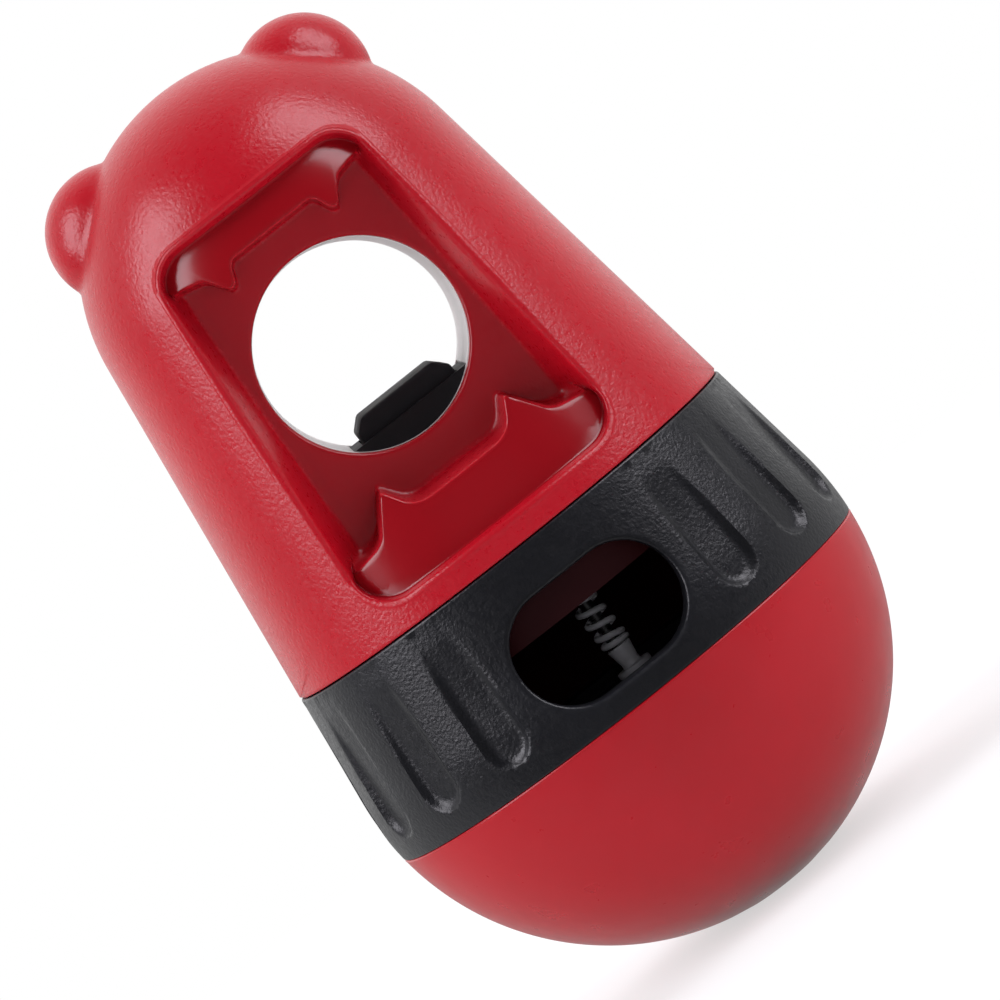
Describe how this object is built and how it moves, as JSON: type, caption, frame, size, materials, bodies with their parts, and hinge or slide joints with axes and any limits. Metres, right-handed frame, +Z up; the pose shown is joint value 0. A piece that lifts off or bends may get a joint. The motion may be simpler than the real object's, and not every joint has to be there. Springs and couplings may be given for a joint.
{
  "type": "dog puzzle toy",
  "caption": "Bear-shaped tumbler that gives out dog treats: weighted round base, fluted waist band with an outlet, screw-on head with a finger hole and a sprung press pad.",
  "frame": {"origin": "middle of the flat under the round base", "axes": "+Z up along the axis of the base, band and head; -Y is the front, where the head's recess faces; +X to the right seen from the front"},
  "size_m": [0.0962, 0.0962, 0.1691],
  "materials": {
    "red_shell": "satin moulded plastic with a fine grain, polished ledges",
    "red_base": "satin smooth",
    "red_drum": "satin smooth",
    "band_charcoal": "fine moulded grain",
    "pad_rubber": "matte",
    "guide_black": "matte",
    "inner_black": "matte",
    "liner_white": "satin",
    "steel": "nickel plated",
    "spring_steel": "drawn wire, nickel plated",
    "iron": "rough cast",
    "seal_rubber": "matte"
  },
  "bodies": {
    "base": {"base_cup": "red_base", "ballast_weight": "iron", "weight_cover": "inner_black", "weight_screws": "steel", "waist_band": "band_charcoal"},
    "seal": {"seal_ring": "seal_rubber"},
    "head": {"head_shell": "red_shell", "hole_liner": "liner_white", "feed_drum": "red_drum", "drum_screws": "steel", "pad_guide": "guide_black", "guide_screws": "steel", "seat_spider": "inner_black", "spider_screws": "steel", "spring_seat": "steel", "return_spring": "spring_steel"},
    "plunger": {"press_pad": "pad_rubber", "plunger_rod": "steel", "spring_washer": "steel", "retaining_clip": "steel", "gate_disc": "inner_black", "gate_nut": "steel"}
  },
  "joints": [
    {"name": "head_lift", "type": "slide", "parent": "base", "child": "seal", "axis": [0, 0, 1], "range_m": [0, 0.009]},
    {"name": "head_twist", "type": "hinge", "parent": "seal", "child": "head", "pos_m": [0, 0, 0.0747], "axis": [0, 0, 1], "range_deg": [0, 270]},
    {"name": "pad_press", "type": "slide", "parent": "head", "child": "plunger", "axis": [0, 0, -1], "range_m": [0, 0.006], "stiffness_N_per_m": 500, "springref_m": -0.005, "deforming": ["return_spring"]}
  ],
  "couplings": [
    {"joint": "head_lift", "follows": "head_twist", "m_per_rad": 0.0019099}
  ]
}
